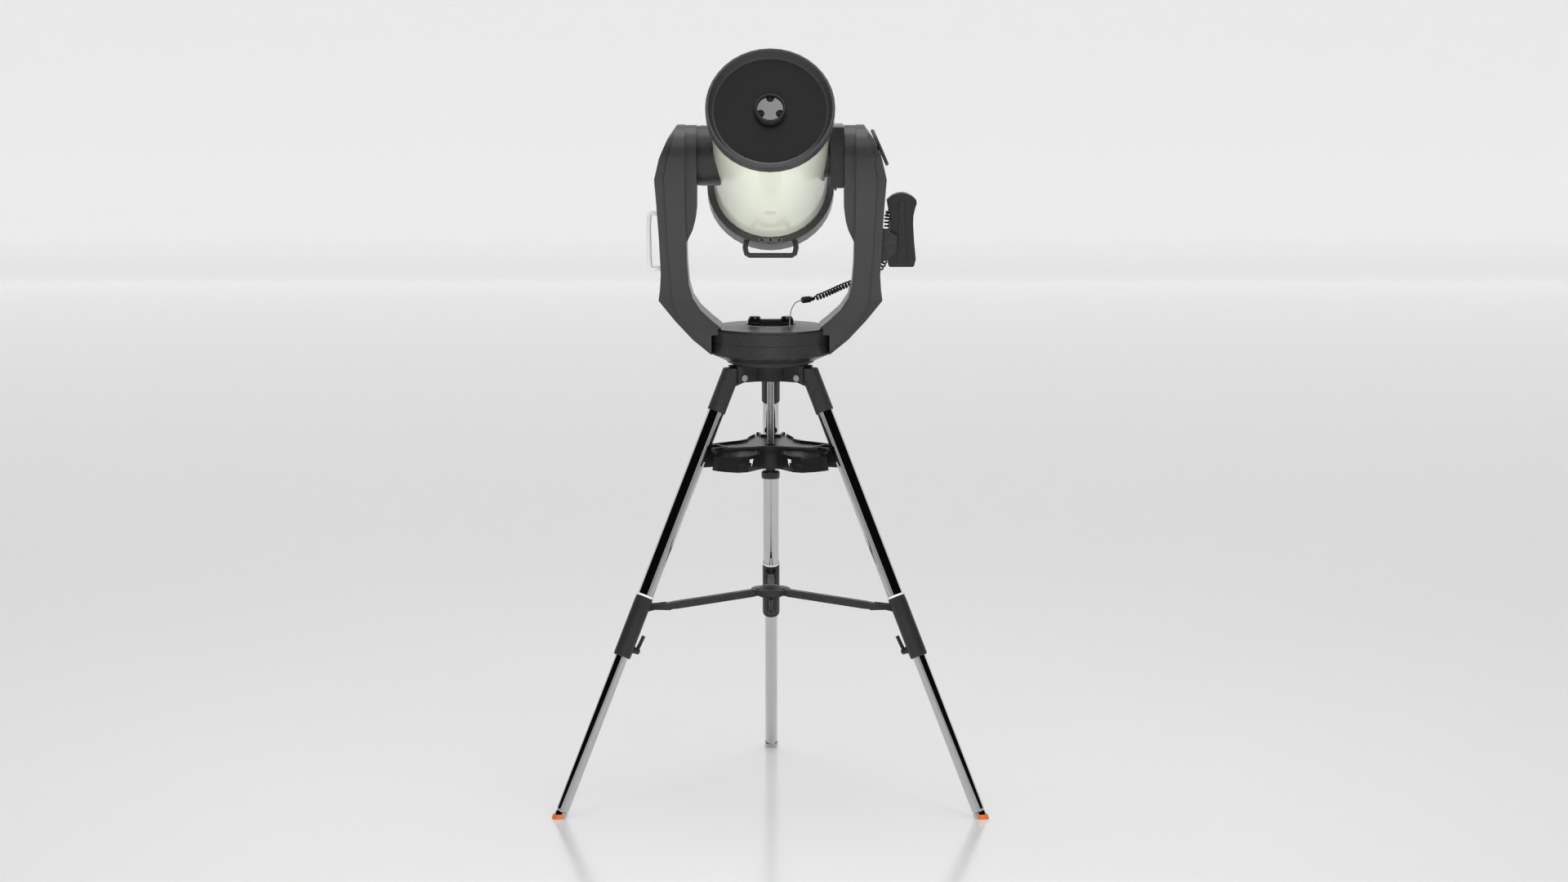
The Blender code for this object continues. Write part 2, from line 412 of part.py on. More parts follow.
drive = box("altitude_drive_housing", (0.1312, -0.0640, 1.3690), (0.1622, 0.0640, 1.5040), mat=BLACK, parent=azimuth_axis)
bevel(drive, 0.004, 2)
cut(drive, cyl("drive_housing_bore", 0.0203, 0.10, 0.20, 24, loc=(0, 0, ALT_Z), rot=(0, pi / 2, 0), cutter=True))

# altitude lock knob on the sloping top of the right cover
alt_lock = lathe("altitude_lock_knob", [(0, -0.012), (0.0050, -0.012), (0.0050, 0.0012), (0.0420, 0.0012), (0.0440, 0.0030), (0.0430, 0.0075), (0.0400, 0.0090), (0, 0.0095)], 24, mat=BLACK, parent=azimuth_axis, loc=ALT_LOCK, rot=(0, radians(66.1), 0))

# carry handle on the outside of the left arm
carry = tube("carry_handle", [(-0.2480, 0, 1.3075), (-0.2640, 0, 1.3085), (-0.2685, 0, 1.3040), (-0.2700, 0, 1.2800), (-0.2690, 0, 1.2100), (-0.2665, 0, 1.1900), (-0.2620, 0, 1.1855), (-0.2442, 0, 1.1862)], 0.0052, mat=CHROME, flat=2.0, parent=azimuth_axis)
cut(carry, plate("carry_seat", mirrored(COVER_FACE, 1), -0.20, 0.20, rot=FRONTAL, cutter=True))

# ------------------------------------------------------------------ hand control, its holder and its cord
HC = [(0.2570, 1.3390), (0.2690, 1.3500), (0.2810, 1.3545), (0.2910, 1.3558), (0.3010, 1.3540), (0.3130, 1.3480), (0.3230, 1.3390), (0.3235, 1.3300), (0.3205, 1.3220), (0.3165, 1.3050), (0.3158, 1.2850), (0.3180, 1.2480), (0.3220, 1.2080), (0.3180, 1.1920), (0.3150, 1.1905),
      (0.2650, 1.1905), (0.2615, 1.1925), (0.2590, 1.2060), (0.2628, 1.2480), (0.2650, 1.2850), (0.2640, 1.3050), (0.2600, 1.3220)]
HC_AXIS = empty("handset_slide", Matrix.Translation((0.2905, 0.0, 1.2700)))
HC_AXIS.parent = azimuth_axis
hc = plate("handset", [(x - 0.2905, z - 1.2700) for x, z in HC], -0.0160, 0.0160, mat=BLACK, parent=HC_AXIS, rot=FRONTAL)
bevel(hc, 0.0045, 1, 30)
cut(hc, box("key_well", (-0.0195, 0.0130, -0.0560), (0.0195, 0.0200, 0.0180), parent=HC_AXIS, cutter=True))
keys = box("keypad", (-0.0191, 0.0140, -0.0556), (0.0191, 0.0156, 0.0176), mat=KEY, parent=HC_AXIS)
for row in range(4):
    for col in range(3):
        join(keys, cyl(f"key_{row}_{col}", 0.0048, -0.0181, -0.0150, 6, parent=HC_AXIS, loc=(0.0125 * (col - 1), 0, 0.0090 - 0.0180 * row), rot=FRONTAL, cutter=True))

holder = plate("handset_holder", [(0.2400, 1.2790), (0.2560, 1.2760), (0.2797, 1.2607), (0.2797, 1.2310), (0.2574, 1.2060), (0.2400, 1.2020)], 0.0166, 0.0300, mat=CAST, parent=azimuth_axis, rot=FRONTAL)
cut(holder, plate("holder_seat", mirrored(COVER_FACE, -1), -0.20, 0.20, rot=FRONTAL, cutter=True))

cord = tube("handset_cord", [(0.2640, 0.0230, 1.3150), (0.2600, 0.0360, 1.2950), (0.2590, 0.0460, 1.2600), (0.2570, 0.0640, 1.2150), (0.2500, 0.0760, 1.1860), (0.2320, 0.0820, 1.1690), (0.2100, 0.0810, 1.1580),
             (0.1880, 0.0740, 1.1490), (0.1600, 0.0560, 1.1400), (0.1250, 0.0280, 1.1270), (0.0960, 0.0080, 1.1180), (0.0930, 0.0060, 1.1172)], 0.0058, mat=RUBBER, parent=azimuth_axis)
join(cord, tube("cord_plug", [(0.0945, 0.0070, 1.1176), (0.0700, -0.0060, 1.1160)], 0.0074, parent=azimuth_axis, cutter=True))
join(cord, tube("cord_lead", [(0.0720, -0.0050, 1.1162), (0.0560, -0.0300, 1.1130), (0.0470, -0.0520, 1.1010), (0.0430, -0.0640, 1.0830), (0.0425, -0.0680, 1.0625)], 0.0013, parent=azimuth_axis, cutter=True))

# ------------------------------------------------------------------ optical tube, in the altitude frame: +Z along the tube to the sky, +Y to its top
OTA = altitude_axis
lathe("main_tube", [(TUBE_R - TUBE_WALL, T_REAR - 0.0100), (TUBE_R, T_REAR - 0.0100), (TUBE_R, 0.2345), (TUBE_R - TUBE_WALL, 0.2345)], 40, mat=CREAM, parent=OTA)
lathe("front_cell", [(FRONT_R, 0.2349), (FRONT_R, 0.2605), (0.1385, T_FRONT), (0.1350, T_FRONT), (0.1270, 0.2460), (0.1225, 0.2441), (0.1240, 0.2441), (0.1240, 0.2384), (0.1200, 0.2384), (0.1200, 0.2260), (0.1241, 0.2260), (0.1241, 0.2349)], 40, mat=CAST, parent=OTA)
lathe("corrector_plate", [(0.0300, 0.2387), (0.1237, 0.2387), (0.1237, 0.2437), (0.0300, 0.2437)], 40, mat=GLASS, parent=OTA)
lathe("secondary_housing", [(0, 0.2320), (0.0340, 0.2320), (0.0340, 0.2383), (0.0297, 0.2383), (0.0297, 0.2440), (0.0345, 0.2440), (0.0345, 0.2590), (0.0330, 0.2620), (0.0292, 0.2620), (0.0284, 0.2600), (0.0284, 0.2530), (0, 0.2530)], 24, mat=CAST, parent=OTA)
sc = cyl("secondary_cover", 0.0278, 0.2533, 0.2562, 24, mat=CHROME, parent=OTA)
for k in range(3):
    a = radians(90 + 120 * k)
    cut(sc, cyl(f"cover_bite_{k}", 0.0092, 0.25, 0.26, 12, parent=OTA, loc=(0.0245 * cos(a), 0.0245 * sin(a), 0), cutter=True))
lathe("secondary_mirror", [(0, 0.2255), (0.0270, 0.2262), (0.0275, 0.2270), (0.0275, 0.2316), (0, 0.2316)], 20, mat=MIRROR, parent=OTA)
rear = lathe("rear_cell", [(0.1279, T_REAR), (0.1410, T_REAR), (REAR_R, T_REAR - 0.0020), (REAR_R, -0.2040), (0.1390, -0.2140), (0.1240, -0.2420), (0.1060, -0.2600), (0.0303, -0.2600), (0.0303, -0.2550), (0.1020, -0.2540), (0.1180, -0.2380), (0.1330, -0.2090), (0.1335, -0.1760), (0.1279, -0.1740)], 40, mat=CAST, parent=OTA)
FOCUS = (0.0620, -0.0300)
cut(rear, cyl("focus_bore", 0.0048, -0.27, -0.24, 14, parent=OTA, loc=(*FOCUS, 0), cutter=True))
handle = tube("rear_handle", [(-0.0550, -0.1270, -0.1850), (-0.0570, -0.1450, -0.1850), (-0.0540, -0.1585, -0.1850), (-0.0470, -0.1630, -0.1850), (0.0470, -0.1630, -0.1850), (0.0540, -0.1585, -0.1850), (0.0570, -0.1450, -0.1850), (0.0550, -0.1270, -0.1850)], 0.0062, mat=BLACK, parent=OTA)
cut(handle, cyl("rear_cell_clearance", REAR_R + GAP, -0.30, -0.10, 40, parent=OTA, cutter=True))
lathe("baffle_tube", [(0.0212, -0.2600), (0.0300, -0.2600), (0.0300, -0.2520), (0.0240, -0.2500), (0.0240, -0.0200), (0.0212, -0.0200)], 20, mat=CAST, parent=OTA)
lathe("primary_mirror", [(0.0243, -0.2200), (0.1060, -0.2200), (0.1175, -0.2080), (0.1175, -0.1900), (0.0850, -0.1965), (0.0520, -0.2005), (0.0243, -0.2022)], 30, mat=MIRROR, parent=OTA)
lathe("visual_back", [(0.0162, -0.2604), (0.0295, -0.2604), (0.0300, -0.2680), (0.0270, -0.2720), (0.0225, -0.2740), (0.0225, -0.2880), (0.0162, -0.2880)], 20, mat=CAST, parent=OTA)
lathe("focus_knob", [(0, -0.2520), (0.0044, -0.2520), (0.0044, -0.2604), (0.0130, -0.2604), (0.0145, -0.2630), (0.0145, -0.2870), (0.0125, -0.2890), (0, -0.2890)], 18, mat=RUBBER, parent=OTA, loc=(*FOCUS, 0))
# trunnions that carry the tube in the arms, cut to sit on it
seat_cut = cyl("tube_seat", TUBE_R + GAP, -0.16, 0.22, 40, parent=OTA, cutter=True)
tl = lathe("trunnion_left", [(0, 0.1100), (0.0660, 0.1100), (0.0670, 0.1500), (0.0660, 0.1620), (0.0200, 0.1620), (0.0200, 0.1900), (0, 0.1900)], 24, mat=BLACK, loc=(0, 0, ALT_Z), rot=(0, -pi / 2, 0), parent=azimuth_axis)
cut(tl, seat_cut)
tr = lathe("trunnion_right", [(0, 0.1150), (0.0480, 0.1150), (0.0480, 0.1306), (0.0200, 0.1308), (0.0200, 0.2060), (0, 0.2060)], 24, mat=CAST, loc=(0, 0, ALT_Z), rot=(0, pi / 2, 0), parent=azimuth_axis)
cut(tr, seat_cut)
teeth = []
N_ALT = 18
for i in range(N_ALT):
    a = 2 * pi * i / N_ALT
    for da, r in ((-0.090, 0.0275), (-0.045, 0.0310), (0.045, 0.0310), (0.090, 0.0275)):
        teeth.append((r * cos(a + da), r * sin(a + da)))
ag = plate("altitude_gear", teeth, 0.1960, 0.2050, mat=BRASS, parent=azimuth_axis, loc=(0, 0, ALT_Z), rot=(0, pi / 2, 0))
cut(ag, cyl("altitude_gear_bore", 0.0203, 0.18, 0.22, 24, loc=(0, 0, ALT_Z), rot=(0, pi / 2, 0), cutter=True))
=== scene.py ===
"""Fork-mounted Schmidt-Cassegrain telescope: finishes, small details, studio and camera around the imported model."""
import json
import math
from math import cos, pi, radians, sin

import bmesh
import bpy
from mathutils import Matrix, Vector

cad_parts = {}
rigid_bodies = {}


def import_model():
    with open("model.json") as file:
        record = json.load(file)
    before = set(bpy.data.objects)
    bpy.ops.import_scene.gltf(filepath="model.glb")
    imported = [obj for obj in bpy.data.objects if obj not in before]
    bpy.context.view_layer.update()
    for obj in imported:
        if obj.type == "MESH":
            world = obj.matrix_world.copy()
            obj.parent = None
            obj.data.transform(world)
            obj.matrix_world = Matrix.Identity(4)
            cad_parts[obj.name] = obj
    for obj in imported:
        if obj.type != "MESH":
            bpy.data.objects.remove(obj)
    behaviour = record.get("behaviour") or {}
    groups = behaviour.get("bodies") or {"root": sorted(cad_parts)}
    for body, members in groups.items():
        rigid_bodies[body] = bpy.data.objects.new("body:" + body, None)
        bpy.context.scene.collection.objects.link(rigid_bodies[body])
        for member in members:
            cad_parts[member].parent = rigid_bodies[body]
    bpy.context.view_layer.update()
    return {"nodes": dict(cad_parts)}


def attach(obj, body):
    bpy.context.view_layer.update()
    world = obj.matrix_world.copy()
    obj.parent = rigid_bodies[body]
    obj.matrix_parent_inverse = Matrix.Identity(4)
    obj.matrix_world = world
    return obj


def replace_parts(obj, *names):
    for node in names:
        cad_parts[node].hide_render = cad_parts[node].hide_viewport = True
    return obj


for old in list(bpy.data.objects):
    bpy.data.objects.remove(old, do_unlink=True)

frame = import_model()


NODES = frame["nodes"]

# ------------------------------------------------------------------ finishes


def finish(name, color, rough, metallic=0.0, grain=900.0, bump=0.02, mottle=0.12, blotch=14.0, rough_swing=0.06, coat=0.0,
           wear=0.0, wear_color=(0.35, 0.35, 0.36), ior=1.5, thread=0.0, aniso=0.0, specular=0.5):
    """A node finish: colour that drifts in soft blotches, fine grain in the bump, uneven gloss, and paler worn edges."""
    m = bpy.data.materials.new(name)
    m.use_nodes = True
    nt = m.node_tree
    b = nt.nodes["Principled BSDF"]
    b.inputs["Metallic"].default_value = metallic
    b.inputs["IOR"].default_value = ior
    b.inputs["Coat Weight"].default_value = coat
    b.inputs["Coat Roughness"].default_value = 0.08
    b.inputs["Anisotropic"].default_value = aniso
    b.inputs["Specular IOR Level"].default_value = specular
    tc = nt.nodes.new("ShaderNodeTexCoord")

    def noise(scale, detail=3.0):
        n = nt.nodes.new("ShaderNodeTexNoise")
        n.inputs["Scale"].default_value = scale
        n.inputs["Detail"].default_value = detail
        nt.links.new(tc.outputs["Object"], n.inputs["Vector"])
        return n

    def ramp(source, a, z, lo, hi):
        r = nt.nodes.new("ShaderNodeValToRGB")
        r.color_ramp.elements[0].position, r.color_ramp.elements[0].color = lo, (*a, 1)
        r.color_ramp.elements[1].position, r.color_ramp.elements[1].color = hi, (*z, 1)
        nt.links.new(source, r.inputs["Fac"])
        return r

    dark = tuple(c * (1 - mottle) for c in color)
    light = tuple(min(1.0, c * (1 + mottle)) for c in color)
    shade = ramp(noise(blotch).outputs["Fac"], dark, light, 0.32, 0.68)
    top = shade.outputs["Color"]
    if wear:
        geo = nt.nodes.new("ShaderNodeNewGeometry")
        edge = ramp(geo.outputs["Pointiness"], (0, 0, 0), (wear, wear, wear), 0.53, 0.60)
        broken = nt.nodes.new("ShaderNodeMath")
        broken.operation = "MULTIPLY"
        nt.links.new(edge.outputs["Color"], broken.inputs[0])
        nt.links.new(noise(160).outputs["Fac"], broken.inputs[1])
        mix = nt.nodes.new("ShaderNodeMixRGB")
        mix.inputs["Color2"].default_value = (*wear_color, 1)
        nt.links.new(broken.outputs[0], mix.inputs["Fac"])
        nt.links.new(top, mix.inputs["Color1"])
        top = mix.outputs["Color"]
    nt.links.new(top, b.inputs["Base Color"])
    swing = nt.nodes.new("ShaderNodeMapRange")
    swing.inputs["To Min"].default_value = max(0.02, rough - rough_swing)
    swing.inputs["To Max"].default_value = min(1.0, rough + rough_swing)
    nt.links.new(noise(38.0, 4.0).outputs["Fac"], swing.inputs["Value"])
    nt.links.new(swing.outputs["Result"], b.inputs["Roughness"])
    bp = nt.nodes.new("ShaderNodeBump")
    bp.inputs["Strength"].default_value = 1.0
    bp.inputs["Distance"].default_value = bump * 0.001
    height = noise(grain, 2.0).outputs["Fac"]
    if thread:
        wave = nt.nodes.new("ShaderNodeTexWave")
        wave.bands_direction = "Z"
        wave.inputs["Scale"].default_value = thread
        nt.links.new(tc.outputs["Object"], wave.inputs["Vector"])
        height = wave.outputs["Fac"]
    nt.links.new(height, bp.inputs["Height"])
    nt.links.new(bp.outputs["Normal"], b.inputs["Normal"])
    return m


BLACK = finish("satin_moulding", (0.0122, 0.0125, 0.0130), 0.33, grain=1500, bump=0.03, coat=0.05, wear=0.08, specular=0.36)
ARM = finish("arm_moulding", (0.0360, 0.0363, 0.0370), 0.34, grain=1300, bump=0.035, mottle=0.05, coat=0.06, specular=0.42)
CAST = finish("painted_casting", (0.0132, 0.0135, 0.0140), 0.42, grain=700, bump=0.05, wear=0.10, specular=0.36)
RING = finish("cell_paint", (0.0520, 0.0523, 0.0530), 0.28, grain=1100, bump=0.02, mottle=0.06, coat=0.12, specular=0.42)
GLOSS = finish("gloss_moulding", (0.006, 0.006, 0.0065), 0.12, grain=1500, bump=0.006, rough_swing=0.03, coat=0.6)
TRAY = finish("tray_moulding", (0.0105, 0.0105, 0.0110), 0.34, grain=1200, bump=0.012, rough_swing=0.03, coat=0.04, specular=0.40)
CHROME = finish("chrome", (0.64, 0.64, 0.65), 0.055, 1.0, grain=300, bump=0.003, mottle=0.02, rough_swing=0.02)
ROD = finish("threaded_rod", (0.60, 0.60, 0.61), 0.24, 1.0, bump=0.12, mottle=0.06, thread=230.0)
STEEL = finish("zinc_steel", (0.74, 0.74, 0.73), 0.22, 1.0, grain=800, bump=0.02, mottle=0.10, blotch=90)
COVER = finish("bright_cover", (0.24, 0.24, 0.245), 0.26, 1.0, grain=900, bump=0.01, mottle=0.04, aniso=0.4)
CREAM = finish("cream_paint", (0.885, 0.925, 0.775), 0.20, grain=650, bump=0.012, mottle=0.018, blotch=6, rough_swing=0.03, coat=0.45)
ORANGE = finish("orange_rubber", (0.72, 0.17, 0.035), 0.55, grain=900, bump=0.08, mottle=0.10, blotch=60)
# Opaque near-black corrector: painted shade standing in for the dark tube interior seen through the clear glass
CORRECTOR_PAINTED_SHADE = finish("corrector_painted_interior_shade", (0.0068, 0.0070, 0.0074), 0.36, grain=500, bump=0.002, mottle=0.04, blotch=8, rough_swing=0.03, specular=0.30)
MIRROR = finish("aluminised", (0.92, 0.92, 0.93), 0.03, 1.0, grain=300, bump=0.001, mottle=0.01, rough_swing=0.01)
BRASS = finish("machined_brass", (0.72, 0.52, 0.22), 0.28, 1.0, grain=700, bump=0.03, mottle=0.10, blotch=70)
RUBBER = finish("black_rubber", (0.0085, 0.0085, 0.0090), 0.55, grain=1400, bump=0.06, mottle=0.18, blotch=80)
KEYS = finish("key_rubber", (0.28, 0.28, 0.29), 0.60, grain=1600, bump=0.05, mottle=0.08, blotch=120)
CASE = finish("hand_control_case", (0.0190, 0.0192, 0.0198), 0.30, grain=1500, bump=0.03, mottle=0.06, coat=0.10, specular=0.40)
HANDLE = finish("pale_handle", (0.90, 0.90, 0.90), 0.30, grain=900, bump=0.015, mottle=0.04, blotch=60, coat=0.2)
LEAD = finish("grey_lead", (0.22, 0.22, 0.22), 0.45, grain=1500, bump=0.01, mottle=0.06, blotch=120)
DARK_SCREW = finish("black_screw", (0.020, 0.020, 0.021), 0.35, 0.6, grain=900, bump=0.03, mottle=0.2, blotch=120)
PAD = finish("rear_pad_paint", (0.105, 0.108, 0.095), 0.40, grain=900, bump=0.02, mottle=0.05, blotch=90)
PALE = finish("pale_pad", (0.55, 0.56, 0.53), 0.40, grain=900, bump=0.03, mottle=0.05, blotch=90)
PRINT = finish("printed_ring", (0.78, 0.78, 0.76), 0.45, grain=900, bump=0.01, mottle=0.03, blotch=120)
DISPLAY = finish("display_window", (0.10, 0.13, 0.10), 0.10, grain=900, bump=0.002, mottle=0.06, blotch=60, rough_swing=0.02, coat=0.5)

LOOK = {
    CAST: ("tripod_head", "drive_base", "secondary_housing", "baffle_tube", "trunnion_right", "handset_holder", "brace_hub", "leg_bracket_", "leg_clamp_", "brace_arm_", "visual_back"),
    RING: ("front_cell", "rear_cell", "rear_handle"),
    BLACK: ("tray_knob", "fork_base", "base_top_cover", "altitude_drive_housing", "trunnion_left", "altitude_lock_knob", "leg_lock_"),
    ARM: ("arm_left", "arm_right", "arm_left_cover", "arm_right_cover"),
    TRAY: ("tray",), GLOSS: ("azimuth_lock_knob",), CASE: ("handset",), KEYS: ("keypad",), RUBBER: ("handset_cord", "focus_knob"),
    CHROME: ("leg_tube_", "lower_leg_"), HANDLE: ("carry_handle",), ROD: ("tension_rod",), STEEL: ("leg_pivot_bolt_",), COVER: ("secondary_cover",),
    CREAM: ("main_tube",), ORANGE: ("foot_",), CORRECTOR_PAINTED_SHADE: ("corrector_plate",), MIRROR: ("primary_mirror", "secondary_mirror"), BRASS: ("azimuth_gear", "altitude_gear"),
}


def look_of(node):
    for m, names in LOOK.items():
        for n in names:
            if node == n or (n.endswith("_") and node.startswith(n)):
                return m
    raise ValueError("no finish for " + node)


def softener(angle):
    """Geometry nodes that weld a mesh, drop its stored normals and shade it smooth except at edges sharper than the angle."""
    g = bpy.data.node_groups.new("soften_%d" % round(math.degrees(angle)), "GeometryNodeTree")
    g.interface.new_socket("Geometry", in_out="INPUT", socket_type="NodeSocketGeometry")
    g.interface.new_socket("Geometry", in_out="OUTPUT", socket_type="NodeSocketGeometry")
    n = g.nodes
    i, o = n.new("NodeGroupInput"), n.new("NodeGroupOutput")
    drop = n.new("GeometryNodeRemoveAttribute")
    drop.inputs["Name"].default_value = "custom_normal"
    weld = n.new("GeometryNodeMergeByDistance")
    weld.inputs["Distance"].default_value = 3e-6
    face, edge = n.new("GeometryNodeSetShadeSmooth"), n.new("GeometryNodeSetShadeSmooth")
    face.domain, edge.domain = "FACE", "EDGE"
    edge.inputs["Shade Smooth"].default_value = False
    ea, cmp = n.new("GeometryNodeInputMeshEdgeAngle"), n.new("FunctionNodeCompare")
    cmp.data_type, cmp.operation = "FLOAT", "GREATER_THAN"
    cmp.inputs[1].default_value = angle
    g.links.new(i.outputs[0], drop.inputs["Geometry"])
    g.links.new(drop.outputs["Geometry"], weld.inputs["Geometry"])
    g.links.new(weld.outputs["Geometry"], face.inputs["Geometry"])
    g.links.new(face.outputs["Geometry"], edge.inputs["Geometry"])
    g.links.new(ea.outputs["Unsigned Angle"], cmp.inputs[0])
    g.links.new(cmp.outputs["Result"], edge.inputs["Selection"])
    g.links.new(edge.outputs["Geometry"], o.inputs[0])
    return g


SOFT = softener(radians(31))
for name, obj in NODES.items():
    obj.data.materials.clear()
    obj.data.materials.append(look_of(name))
    md = obj.modifiers.new("soften", "NODES")
    md.node_group = SOFT

# ------------------------------------------------------------------ piece helpers
ELEV, ALT_Z = radians(27.5), 1.4367
OTA = Matrix(((1, 0, 0, 0), (0, sin(ELEV), -cos(ELEV), 0), (0, cos(ELEV), sin(ELEV), ALT_Z), (0, 0, 0, 1)))      # columns: x, the tube's top, the sky


def piece(name, verts, faces, mat, body, slot, where=None, sharp=31):
    me = bpy.data.meshes.new(name)
    me.from_pydata([tuple(v) for v in verts], [], faces)
    bm = bmesh.new()
    bm.from_mesh(me)
    bmesh.ops.remove_doubles(bm, verts=bm.verts, dist=1e-6)
    if where is not None:
        bm.transform(where)
    bmesh.ops.recalc_face_normals(bm, faces=bm.faces)
    for f in bm.faces:
        f.smooth = True
    for e in bm.edges:
        if len(e.link_faces) == 2 and e.calc_face_angle(0) > radians(sharp):
            e.smooth = False
    bm.to_mesh(me)
    bm.free()
    me.materials.append(mat)
    ob = bpy.data.objects.new(name, me)
    bpy.context.collection.objects.link(ob)
    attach(ob, body)
    return ob


def turned(profile, steps):
    """Vertices and faces of a closed (r, z) profile turned about Z; points at r = 0 become one vertex."""
    verts, ring, faces = [], [], []
    for r, z in profile:
        if r < 1e-7:
            ring.append([len(verts)] * steps)
            verts.append((0, 0, z))
        else:
            ring.append(list(range(len(verts), len(verts) + steps)))
            verts += [(r * cos(2 * pi * k / steps), r * sin(2 * pi * k / steps), z) for k in range(steps)]
    for a, b in zip(ring, ring[1:] + ring[:1]):
        for k in range(steps):
            q = [a[k], a[(k + 1) % steps], b[(k + 1) % steps], b[k]]
            q = [v for i, v in enumerate(q) if v not in q[:i]]
            if len(q) > 2:
                faces.append(q)
    return verts, faces


def swept(points, radius, sides, ends=True):
    """A round bar along the points, with its frame carried along so that it never twists."""
    pts = [Vector(p) for p in points]
    verts, faces = [], []
    side = None
    for i, p in enumerate(pts):
        d = (pts[min(i + 1, len(pts) - 1)] - pts[max(i - 1, 0)]).normalized()
        side = (d.orthogonal() if side is None else side - d * side.dot(d)).normalized()
        up = d.cross(side)
        r = radius[i] if isinstance(radius, (list, tuple)) else radius
        verts += [p + (side * cos(2 * pi * k / sides) + up * sin(2 * pi * k / sides)) * r for k in range(sides)]
    for i in range(len(pts) - 1):
        for k in range(sides):
            a, b = i * sides + k, i * sides + (k + 1) % sides
            faces.append([a, b, b + sides, a + sides])
    if ends:
        faces.append(list(range(sides))[::-1])
        faces.append(list(range((len(pts) - 1) * sides, len(pts) * sides)))
    return verts, faces


def curve_through(points, per):
    """Catmull-Rom points through the given ones."""
    p = [Vector(q) for q in points]
    p = [p[0] * 2 - p[1]] + p + [p[-1] * 2 - p[-2]]
    out = []
    for i in range(1, len(p) - 2):
        for k in range(per):
            t = k / per
            out.append(0.5 * (2 * p[i] + (p[i + 1] - p[i - 1]) * t + (2 * p[i - 1] - 5 * p[i] + 4 * p[i + 1] - p[i + 2]) * t * t + (3 * p[i] - p[i - 1] - 3 * p[i + 1] + p[i + 2]) * t ** 3))
    return out + [p[-2]]


def slab(outline, lo, hi, chamfer=0.0):
    """A closed plate from a 2-D outline, with its upper edge drawn in by the chamfer."""
    n = len(outline)
    cx, cy = sum(p[0] for p in outline) / n, sum(p[1] for p in outline) / n
    size = max(math.hypot(x - cx, y - cy) for x, y in outline)
    k = 1 - chamfer / size
    rings = [(lo, 1.0), (hi - chamfer * 0.6, 1.0), (hi, k)]
    verts = [(cx + (x - cx) * s, cy + (y - cy) * s, z) for z, s in rings for x, y in outline]
    faces = [[r * n + i, r * n + (i + 1) % n, (r + 1) * n + (i + 1) % n, (r + 1) * n + i] for r in range(2) for i in range(n)]
    return verts, faces + [list(range(n))[::-1], list(range(2 * n, 3 * n))]


def at(x, y, z, axis):
    """A frame at a point with its Z along the axis."""
    q = Vector(axis).to_track_quat("Z", "Y")
    return Matrix.Translation((x, y, z)) @ q.to_matrix().to_4x4()


SCREW = [(0, 0), (0.0034, 0), (0.0036, 0.0006), (0.0035, 0.0019), (0.0030, 0.0024), (0.0017, 0.0024), (0.0015, 0.0010), (0, 0.0009)]


def screw(name, where, body, mat, slot, size=1.0):
    return piece(name, *turned([(r * size, z * size) for r, z in SCREW], 18), mat, body, slot, where=where)


# ------------------------------------------------------------------ hand control: coiled cord and plug, front ridge, display
PATH = [(0.2640, 0.0230, 1.3150), (0.2600, 0.0360, 1.2950), (0.2590, 0.0460, 1.2600), (0.2570, 0.0640, 1.2150), (0.2500, 0.0760, 1.1860), (0.2320, 0.0820, 1.1690), (0.2100, 0.0810, 1.1580),
        (0.1880, 0.0740, 1.1490), (0.1600, 0.0560, 1.1400), (0.1250, 0.0280, 1.1270), (0.0960, 0.0080, 1.1180)]
line = curve_through(PATH, 24)
along = [0.0]
for a, b in zip(line, line[1:]):
    along.append(along[-1] + (b - a).length)
PITCH, COIL_R, WIRE_R, PER_TURN = 0.0084, 0.0056, 0.0020, 14
turns = along[-1] / PITCH
coil, side, j = [], None, 0
for k in range(int(turns * PER_TURN) + 1):
    s = min(k / PER_TURN * PITCH, along[-1] - 1e-7)
    while along[j + 1] < s:
        j += 1
    f = (s - along[j]) / (along[j + 1] - along[j])
    c = line[j].lerp(line[j + 1], f)
    d = (line[j + 1] - line[j]).normalized()
    side = (d.orthogonal() if side is None else side - d * side.dot(d)).normalized()
    a = 2 * pi * k / PER_TURN
    grow = min(1.0, 0.15 + s / 0.012, 0.15 + (along[-1] - s) / 0.012)
    coil.append(c + (side * cos(a) + d.cross(side) * sin(a)) * COIL_R * grow)
cord = piece("cord_coil", *swept(coil, WIRE_R, 7), RUBBER, "fork", "black_rubber", sharp=70)
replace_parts(cord, "handset_cord")
P0, P1 = Vector((0.0965, 0.0080, 1.1178)), Vector((0.0700, -0.0060, 1.1160))
steps = [(0.0, 0.0030), (0.10, 0.0046), (0.30, 0.0050), (0.34, 0.0070), (0.80, 0.0073), (0.94, 0.0070), (1.0, 0.0060)]
piece("cord_plug", *swept([P0.lerp(P1, t) for t, r in steps], [r for t, r in steps], 20), RUBBER, "fork", "black_rubber", sharp=40)

lead = curve_through([(0.0715, -0.0053, 1.1162), (0.0560, -0.0300, 1.1130), (0.0470, -0.0520, 1.1010), (0.0430, -0.0640, 1.0830), (0.0425, -0.0680, 1.0592)], 10)
piece("cord_lead", *swept(lead, 0.0012, 8), LEAD, "fork", "black_rubber", sharp=70)

